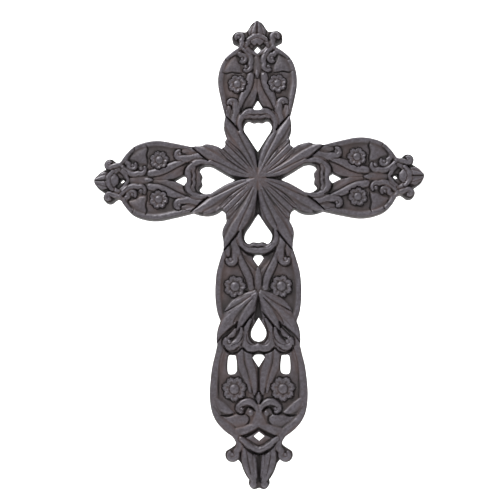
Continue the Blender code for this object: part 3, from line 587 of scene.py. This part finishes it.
def carve_acanthus(relief):
    """Three leaves on each side of the long limb's waist, and the wedge between them."""
    r = relief
    foot = 8.8
    mass = [(115, -1), (116, 6), (120, 18), (128, 29), (134, 33), (143, 37), (154, 39.4), (164, 41.4),
            (157, 35.4), (150, 27), (146.6, 21.6), (152, 20.6), (145, 13.6), (136, 5.6), (124, 1.6),
            (120, -1)]
    r.patch(np.array(mass), 10.9, 1.4)
    r.ridge([(115, 3, 2.6), (119.6, 12, 4.2), (124.6, 21, 4.4), (129.4, 27.6, 3.0), (133.2, 32, 1.0)],
            11.6, foot, 0.6, 0)
    r.ridge([(117, 2, 2.6), (126, 13.6, 5.6), (136, 24, 7.4), (146, 32, 6.8), (156, 37.6, 4.8),
             (165, 41.6, 1.2)], 12.2, foot, 0.6, 0)
    r.ridge([(119, 2, 2.2), (129, 8, 4.8), (138, 13, 5.2), (146, 17.4, 3.8), (152.4, 20.6, 1.2)],
            12.6, foot, 0.6, 0)
    # creases between the leaves, veins along them, and the dark edges under their tips
    r.line([(119, 7), (126.4, 18), (131, 26), (134.4, 32.6)], 1.2, 1.0)
    r.line([(121, 5), (131, 14.6), (140, 22.0), (146.4, 24.6)], 1.0, 1.1)
    for root, middle, tip in (((117, 9), (122, 20), (128.6, 28)), ((121, 9), (131, 22), (140, 33)),
                              ((123, 8.4), (136, 21), (150, 32.6)), ((122, 3.8), (134, 10.4), (147, 18))):
        r.line([root, middle, tip], 0.45, 1.2)
    r.groove([(144, 20.4, 0.6), (148.4, 21.6, 2.0), (152, 22, 0.8)], 2.4)
    r.line([(134, 3.4), (141, 8.8), (148, 14.8), (153.4, 20.4)], 2.0, 1.3)
    r.line([(148, 24), (153, 30), (159, 36.4), (165.6, 41)], 2.0, 1.4)
    r.groove([(120, 0, 0.8), (128, 0, 2.2), (134, 0, 3.8), (140, 0, 5.4)], 4.8)


def carve_garland(relief):
    """The bowl round the teardrop and the volutes beside it, with their scalloped lower edge."""
    r = relief
    r.ridge([(142, 7.4, 1.4), (149, 11, 2.6), (156, 13.2, 3.4), (163, 12.8, 4.6), (168.6, 9, 4.8),
             (170, 4, 4.4), (169, 0, 4.0)], 11.4, roundness=0.42)
    r.line([(150, 9.8), (157, 11.4), (163.4, 10.6), (167, 6.6), (166, 1.6)], 1.1, 0.9)
    r.volute([(151, 16.4, 1.8), (157, 17, 3.0), (163, 19.6, 4.2)], (163.8, 28.2), 5.4, -62, 215, 4.2)
    r.line([(152, 14.4), (159, 15.4), (164.8, 19.6), (167.4, 26)], 1.3, 0.9)
    r.ridge([(152, 22.4, 1.6), (156.4, 25, 2.6), (159, 29, 1.6)], 10.8)
    r.line([(172.6, 0), (174.6, 5.4), (173.6, 11), (170, 15.8), (173.4, 19.8), (174.8, 25.8), (172.4, 31),
            (167, 33.6)], 2.4, 1.5)


def carve_foot(relief):
    """The bottom medallion: stems, rosettes, C scrolls and lens pads."""
    r = relief
    r.line([(168, 33.4), (180, 37), (192, 38.4), (206, 38.8), (218, 38.4)], 0.9, 1.0)
    r.ridge([(168, 17, 3.4), (184, 16.8, 4.0), (194, 13.6, 3.8), (204, 9.8, 3.0), (212, 8.0, 1.2)],
            10.5, ditch=0.3)
    r.ridge([(168, 10.6, 3.6), (182, 9.4, 4.2), (192, 6.6, 4.2), (202, 4.6, 3.6), (214, 3.4, 1.8)],
            10.9, ditch=0.4)
    r.groove([(186, 0, 2.0), (194, 0, 1.2), (211, 0, 1.2)], 2.0)
    r.rosette((209.4, 23.4), 12.8, petals=7, turn=0, boss=0.37)
    # the bead in its lens, between the C scrolls
    r.volute([(229, 1.6, 2.4), (224.4, 4.6, 3.2), (221.6, 9.4, 3.6), (221.8, 14, 3.4)],
             (228.4, 16.2), 4.4, 160, -170, 3.0)
    r.line([(211.6, 0.6), (215, 3.2), (219, 3.8), (223, 1.8)], 2.2, 1.2)
    r.ridge([(213, 0, 1.0), (217.6, 0, 2.6), (222.4, 0, 1.2)], 10.8)
    r.line([(230.4, 3), (227.2, 6.6), (226.4, 10.6), (228.6, 12.6), (232.6, 14.6), (233.6, 18), (231, 21)],
           2.4, 1.5)
    r.ball((232.2, 7.4), 2.9, 10.8)
    # the smooth mass between the lens pads
    r.ridge([(226, 0, 2.6), (234, 0, 4.4), (241, 0, 7.4), (246.6, 0, 9.6)], 10.9, foot=9, ditch=0)
    pad = smooth_curve([(233.6, 13), (236.4, 9.4), (241, 10), (244.8, 14.4), (246, 22), (244.2, 30),
                        (240, 35), (235.6, 36.4), (235.4, 29), (233.2, 21), (233.6, 13)])
    r.patch(pad, PAD, 1.2, 0.8)
    r.line([(233.4, 12.4), (236.6, 9), (241.2, 9.8), (245.2, 14.4), (246.4, 22), (244.6, 30.6),
            (240.4, 36)], 1.5, 1.0)
    r.ridge([(219, 41.4, 2.4), (225, 36.8, 4.6), (229.4, 30.6, 3.6), (232.2, 24.2, 1.0)],
            10.9, GROUND, ditch=0)
    r.line([(232, 23), (234.6, 29), (234.2, 36)], 2.2, 1.3)


def carve_tip(relief):
    """The long limb's end: the neck and its rolled curls, the collar and the finial."""
    r = relief
    r.ridge([(264, 13.4, 3.0), (272, 11.6, 5.6), (281, 9.4, 6.0), (289, 6.6, 4.6), (296, 4.8, 2.8)],
            11.6, roundness=0.42)
    centre, radius = FOOT_CURL
    r.volute([(228, 43.6, 1.6), (238, 38.4, 3.4), (248, 27, 4.6), (256, 20.4, 4.4), (264, 18.6, 3.8)],
             centre, 0.66 * radius, -128, 262, 3.2, 11.4, 0.4)
    r.ridge([(246, 2, 5.0), (248, 12, 4.8), (250, 22, 4.2)], 11.0, ditch=0)
    r.groove([(247, 0, 2.6), (250.6, 6, 2.6), (253.6, 12, 2.2), (255, 16.6, 1.4)], 3.6)
    r.ridge([(256.4, 17, 2.4), (260.6, 11.6, 3.2), (264.8, 5.6, 3.2), (267, 0, 3.2)])
    r.line([(257.6, 11.6), (261, 7), (264, 3)], 1.4, 1.0)
    r.line([(263.6, 14.6), (268.4, 8.6), (271.6, 0)], 2.8, 1.7)
    r.groove([(271, 0, 2.2), (278, 0, 2.8), (287, 0, 1.6), (296, 0, 1.0)], 1.7)
    r.ridge([(272, 4.4, 1.0), (280, 3.6, 1.8), (292, 2.2, 1.0)], 11.6, ditch=0)
    r.line([(268, 11.6), (278, 10.2), (290, 7.4)], 1.2, 1.2)
    r.ball((298.8, 5.4), 3.8, 11.8)


def relief_height(x, y):
    """Height of the front over the back at every point, in drawing units."""
    height = np.full(x.shape, GROUND)
    for limb, along, across in (('top', y, x), ('side', x, y), ('side', -x, y), ('down', -y, x)):
        spots = np.nonzero(along > np.abs(across) - 1e-9)[0]
        relief = Relief(along[spots], np.abs(across[spots]))
        if limb == 'down':
            side = long_limb_side()
            rim(relief, side, 60, 168)
            rim(relief, side, 168, 254, WIDE_RIM)
            carve_middle(relief)
            carve_acanthus(relief)
            carve_foot(relief)
            carve_garland(relief)
            carve_tip(relief)
        else:
            rim(relief, short_limb_side(limb), 56, 139)
            carve_short_limb(relief, TOP_CURL if limb == 'top' else SIDE_CURL)
        drop = STAR_DROP if limb == 'down' else 1.0
        star_shadow(relief, drop)
        carve_star(relief, drop, WINDOW_SIDE[limb][-1][0])
        height[spots] = relief.height
    return height


def round_edge(x, y, height, edges, radius):
    """Ease the front's height down at the outline and the holes."""
    gap = np.full(x.shape, radius)
    for edge in edges:
        gap = np.minimum(gap, edge_distance(x, y, np.vstack([edge, edge[:1]]), radius))
    share = 1 - gap / radius
    return height - radius * (1 - np.sqrt(1 - share ** 2))


def on_metal(x, y, edges):
    """Which points lie on the casting: inside its outline and outside its holes."""
    metal = inside_of(x, y, edges[0])
    for hole in edges[1:]:
        metal &= ~inside_of(x, y, hole)
    return metal


def added(name, data):
    """A new object in the scene."""
    thing = bpy.data.objects.new(name, data)
    bpy.context.scene.collection.objects.link(thing)
    return thing


# The casting's mesh

def plan_points(edges, spacing):
    """The plan's points: those of every edge, and a grid between them that keeps off the edges."""
    low = edges[0].min(axis=0)
    high = edges[0].max(axis=0)
    across, up = np.meshgrid(np.arange(low[0], high[0], spacing), np.arange(low[1], high[1], spacing))
    x = across.ravel()
    y = up.ravel()
    gap = np.full(x.shape, spacing)
    for edge in edges:
        gap = np.minimum(gap, edge_distance(x, y, np.vstack([edge, edge[:1]]), spacing))
    clear = on_metal(x, y, edges) & (gap > 0.5 * spacing)
    return np.vstack(edges + [np.stack([x[clear], y[clear]], 1)])


def plan_mesh(edges, points):
    """A flat plan of the casting as triangles through the given points, every edge kept."""
    borders = []
    first = 0
    for edge in edges:
        count = len(edge)
        borders += [(first + i, first + (i + 1) % count) for i in range(count)]
        first += count
    plan = delaunay_2d_cdt([Vector(point) for point in points], borders, [], 1, 1e-6, False)
    points = np.array([tuple(point) for point in plan[0]])
    triangles = np.array(plan[2])
    middles = points[triangles].mean(axis=1)
    kept = on_metal(middles[:, 0], middles[:, 1], edges)
    return points, triangles[kept], borders


def grain(x, y, size, seed):
    """Smooth unevenness between -1 and 1, from waves in many directions."""
    draw = np.random.default_rng(seed)
    value = np.zeros(x.shape)
    for _ in range(14):
        turn = draw.uniform(0, 2 * math.pi)
        length = size * draw.uniform(0.7, 1.6)
        run = (x * math.cos(turn) + y * math.sin(turn)) / length
        value += np.sin(2 * math.pi * run + draw.uniform(0, 6.3))
    return value / 5


def front_height(x, y, edges, unit):
    """Height of the carved front over the back, in drawing units, with the sand casting's unevenness."""
    height = np.maximum(relief_height(x, y), DEEPEST)
    height = round_edge(x, y, height, edges, EDGE_RADIUS / unit)
    height = height + COARSE_RISE * grain(x, y, COARSE_LENGTH, 3)
    return height + FINE_RISE * grain(x, y, FINE_LENGTH, 8)


def to_depth(height):
    """A height in drawing units as the distance of the front from the back, in metres."""
    return PANEL_THICKNESS + (height - FLOOR) * RELIEF_HEIGHT / (STAR - FLOOR)


def hollowness(triangles, height, rounds):
    """How far each point lies below its surroundings, by averaging over neighbours again and again."""
    ends = np.vstack([triangles[:, [0, 1]], triangles[:, [1, 2]], triangles[:, [2, 0]]])
    ends = np.vstack([ends, ends[:, ::-1]])
    count = np.bincount(ends[:, 0], minlength=len(height)).clip(1)
    smooth = height.copy()
    for _ in range(rounds):
        smooth = np.bincount(ends[:, 0], weights=smooth[ends[:, 1]], minlength=len(height)) / count
    return smooth - height


def casting(name, fit):
    """The cross as a closed mesh, with how hollow each point lies kept for the finish's wear and its painted
    shade.
    """
    edges = [outline()] + holes()
    unit = CROSS_HEIGHT / np.ptp(edges[0][:, 1])
    front, faces, borders = plan_mesh(edges, plan_points(edges, POINT_SPACING / unit))
    back, back_faces, _ = plan_mesh(edges, np.vstack(edges))
    height = front_height(front[:, 0], front[:, 1], edges, unit)
    depth = to_depth(height)
    places = np.vstack([
        np.stack([front[:, 0] * unit, -depth, front[:, 1] * unit], 1),
        np.stack([back[:, 0] * unit, np.zeros(len(back)), back[:, 1] * unit], 1),
    ])
    low, high = fit
    places = np.clip(places, np.array(low) + FIT_MARGIN, np.array(high) - FIT_MARGIN)
    start = len(front)
    walls = []
    for a, b in borders:
        walls.append((a, b, start + b, start + a))
    mesh = bpy.data.meshes.new(name)
    mesh.from_pydata(places.tolist(), [], faces.tolist() + (back_faces + start)[:, ::-1].tolist() + walls)
    mesh.update()
    shell = bmesh.new()
    shell.from_mesh(mesh)
    bmesh.ops.recalc_face_normals(shell, faces=shell.faces[:])
    shell.to_mesh(mesh)
    shell.free()
    mesh.shade_smooth()
    mesh.set_sharp_from_angle(angle=math.radians(SHARP_ANGLE))
    for title, rounds in (('hollow', NARROW_ROUNDS), ('wide_hollow', WIDE_ROUNDS)):
        values = hollowness(faces, height, rounds)
        spread = mesh.attributes.new(title, 'FLOAT', 'POINT')
        spread.data.foreach_set('value', np.concatenate([values, np.zeros(len(back))]))
    return added(name, mesh)


# The finish

class Nodes:
    """Short calls for laying out a material's nodes."""

    def __init__(self, material):
        material.use_nodes = True
        self.tree = material.node_tree
        self.shader = self.tree.nodes['Principled BSDF']

    def add(self, kind, **settings):
        """A new node with the given settings."""
        node = self.tree.nodes.new(kind)
        for key, value in settings.items():
            setattr(node, key, value)
        return node

    def link(self, source, target):
        self.tree.links.new(source, target)

    def feed(self, socket, value):
        """Put a value on a socket, or link another node's output to it."""
        if hasattr(value, 'links'):
            self.link(value, socket)
        else:
            socket.default_value = value

    def math(self, operation, first, second, clamp=False):
        """One step of arithmetic with two values."""
        node = self.add('ShaderNodeMath', operation=operation, use_clamp=clamp)
        self.feed(node.inputs[0], first)
        self.feed(node.inputs[1], second)
        return node.outputs[0]

    def spread(self, value, low, high):
        """A smooth rise from 0 at the low value to 1 at the high one."""
        node = self.add('ShaderNodeMapRange', interpolation_type='SMOOTHSTEP')
        self.feed(node.inputs['Value'], value)
        self.feed(node.inputs['From Min'], low)
        self.feed(node.inputs['From Max'], high)
        return node.outputs['Result']

    def mix(self, share, first, second):
        """Two colours mixed by a share."""
        node = self.add('ShaderNodeMix', data_type='RGBA')
        self.feed(node.inputs['Factor'], share)
        self.feed(node.inputs['A'], first)
        self.feed(node.inputs['B'], second)
        return node.outputs['Result']

    def noise(self, scale, detail):
        """Smooth noise in the object's own space."""
        place = self.add('ShaderNodeTexCoord')
        node = self.add('ShaderNodeTexNoise')
        self.link(place.outputs['Object'], node.inputs['Vector'])
        node.inputs['Scale'].default_value = scale
        node.inputs['Detail'].default_value = detail
        node.inputs['Roughness'].default_value = 0.55
        return node.outputs['Fac']

    def kept(self, name):
        """A value that the mesh keeps for each point."""
        node = self.add('ShaderNodeAttribute', attribute_name=name)
        return node.outputs['Fac']


def iron():
    """Dark cast iron: brown in the hollows, greyer and a little shinier where it is rubbed, with painted
    shade darkening its crevices and engraved lines towards near black.
    """
    material = bpy.data.materials.new('cast_iron')
    n = Nodes(material)
    # Where the iron is rubbed and raised, and where painted shade darkens its sunk parts, counted in drawing
    # units
    rubbed = n.spread(n.kept('hollow'), 0.30, -0.35)
    raised = n.spread(n.kept('wide_hollow'), 0.9, -0.9)
    crevice_shade = n.spread(n.kept('wide_hollow'), 0.15, 1.3)
    # Brown with rusty blotches, and grey with a speckle
    blotches = n.spread(n.noise(38.0, 4.0), 0.40, 0.64)
    speckle = n.noise(420.0, 2.0)
    brown = n.mix(blotches, BROWN_DARK, BROWN_RUST)
    grey = n.mix(n.spread(speckle, 0.35, 0.7), GREY_DARK, GREY_SHEEN)
    share = n.math('MULTIPLY', rubbed, RUBBED_SHARE)
    share = n.math('ADD', share, n.math('MULTIPLY', raised, RAISED_SHARE), clamp=True)
    colour = n.mix(share, brown, grey)
    # Painted shade: the narrow grooves and the wide crevices are mixed towards near black, standing in for
    # the shade that falls in them
    line = n.spread(n.kept('hollow'), 0.20, 0.8)
    shade = n.math('MULTIPLY', n.math('MAXIMUM', crevice_shade, line), SHADE)
    colour = n.mix(shade, colour, PAINTED_SHADE_COLOUR)
    n.link(colour, n.shader.inputs['Base Color'])
    rough = n.math('SUBTRACT', ROUGHNESS, n.math('MULTIPLY', rubbed, RUBBED_GLOSS))
    rough = n.math('ADD', rough, n.math('MULTIPLY', n.spread(speckle, 0.3, 0.7), SPECKLE_ROUGHNESS))
    n.link(rough, n.shader.inputs['Roughness'])
    n.shader.inputs['Metallic'].default_value = METAL
    n.shader.inputs['Specular IOR Level'].default_value = 0.5
    # The sand mould's grain on the skin
    sand = n.math('ADD', n.math('MULTIPLY', n.noise(900.0, 2.0), 0.6), n.noise(260.0, 3.0))
    bump = n.add('ShaderNodeBump')
    bump.inputs['Strength'].default_value = BUMP_STRENGTH
    bump.inputs['Distance'].default_value = BUMP_DEPTH
    n.link(sand, bump.inputs['Height'])
    n.link(bump.outputs['Normal'], n.shader.inputs['Normal'])
    return material


def plain(name, colour, roughness):
    """A material with one colour and one roughness."""
    material = bpy.data.materials.new(name)
    n = Nodes(material)
    n.shader.inputs['Base Color'].default_value = colour
    n.shader.inputs['Roughness'].default_value = roughness
    return material


# Camera, light and backdrop

def camera(unit):
    """The photograph's view: from a little below, looking up at the cross."""
    tilt, yaw, roll = (math.radians(angle) for angle in CAMERA_TURN)
    turn = Matrix.Rotation(yaw, 3, 'Y') @ Matrix.Rotation(tilt, 3, 'X') @ Matrix.Rotation(roll, 3, 'Z')
    offset = Vector((CENTRE_PIXEL[0] - FRAME / 2, FRAME / 2 - CENTRE_PIXEL[1], -FOCAL_PIXELS))
    place = -(turn.transposed() @ offset)

    def to_world(v):
        return Vector((v.x, -v.z, v.y))

    right, up, back = (to_world(turn.row[i]) for i in range(3))
    data = bpy.data.cameras.new('camera')
    data.sensor_width = SENSOR
    data.lens = FOCAL_PIXELS / FRAME * SENSOR
    data.clip_start = 0.05
    data.clip_end = 30
    view = added('camera', data)
    stance = Matrix((right, up, back)).transposed().to_4x4()
    stance.translation = to_world(place) * unit + Vector((0, -FACE_PLANE, 0))
    view.matrix_world = stance
    bpy.context.scene.camera = view


def soft_light(name, place, aim, size, power, colour=(1, 1, 1)):
    """A rectangular lamp that faces a given point."""
    data = bpy.data.lights.new(name, 'AREA')
    data.shape = 'RECTANGLE'
    data.size, data.size_y = size
    data.energy = power
    data.color = colour
    lamp = added(name, data)
    lamp.location = place
    lamp.rotation_mode = 'QUATERNION'
    lamp.rotation_quaternion = (Vector(aim) - Vector(place)).to_track_quat('-Z', 'Y')


def backdrop():
    """A pale floor that sweeps up into a pale wall well behind the cross."""
    profile = [(-BACKDROP_REACH, FLOOR_LEVEL), (BACKDROP_AT - 0.8, FLOOR_LEVEL),
               (BACKDROP_AT - 0.35, FLOOR_LEVEL + 0.1), (BACKDROP_AT - 0.1, FLOOR_LEVEL + 0.35),
               (BACKDROP_AT, FLOOR_LEVEL + 0.8), (BACKDROP_AT, BACKDROP_TOP)]
    sheet = bmesh.new()
    rows = []
    for y, z in profile:
        rows.append([sheet.verts.new((x, y, z)) for x in (-BACKDROP_REACH, BACKDROP_REACH)])
    for low, high in zip(rows, rows[1:]):
        sheet.faces.new((low[0], low[1], high[1], high[0]))
    mesh = bpy.data.meshes.new('backdrop')
    sheet.to_mesh(mesh)
    sheet.free()
    mesh.shade_smooth()
    mesh.materials.append(plain('paper', PAPER, PAPER_ROUGHNESS))
    added('backdrop', mesh)


def world():
    """An even white sky."""
    surroundings = bpy.data.worlds.new('studio')
    surroundings.use_nodes = True
    sky = surroundings.node_tree.nodes['Background']
    sky.inputs['Color'].default_value = (1, 1, 1, 1)
    sky.inputs['Strength'].default_value = SKY_STRENGTH
    bpy.context.scene.world = surroundings


cad_low, cad_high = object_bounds()
piece = casting('cast_cross', (cad_low, cad_high))
piece.data.materials.append(iron())
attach(piece, 'root')
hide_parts('cross')

camera(CROSS_HEIGHT / np.ptp(outline()[:, 1]))
backdrop()
world()
soft_light('key', (-0.9, -0.9, 1.6), (0, 0, 0), (0.8, 0.7), KEY_POWER, KEY_COLOUR)
soft_light('fill', (1.4, -1.6, 0.4), (0, 0, -0.05), (1.2, 1.6), FILL_POWER)
soft_light('backdrop_light', (0, 0.4, 2.6), (0, BACKDROP_AT, 0.2), (3.0, 1.0), BACKDROP_POWER)
bpy.context.scene.view_settings.view_transform = 'Standard'
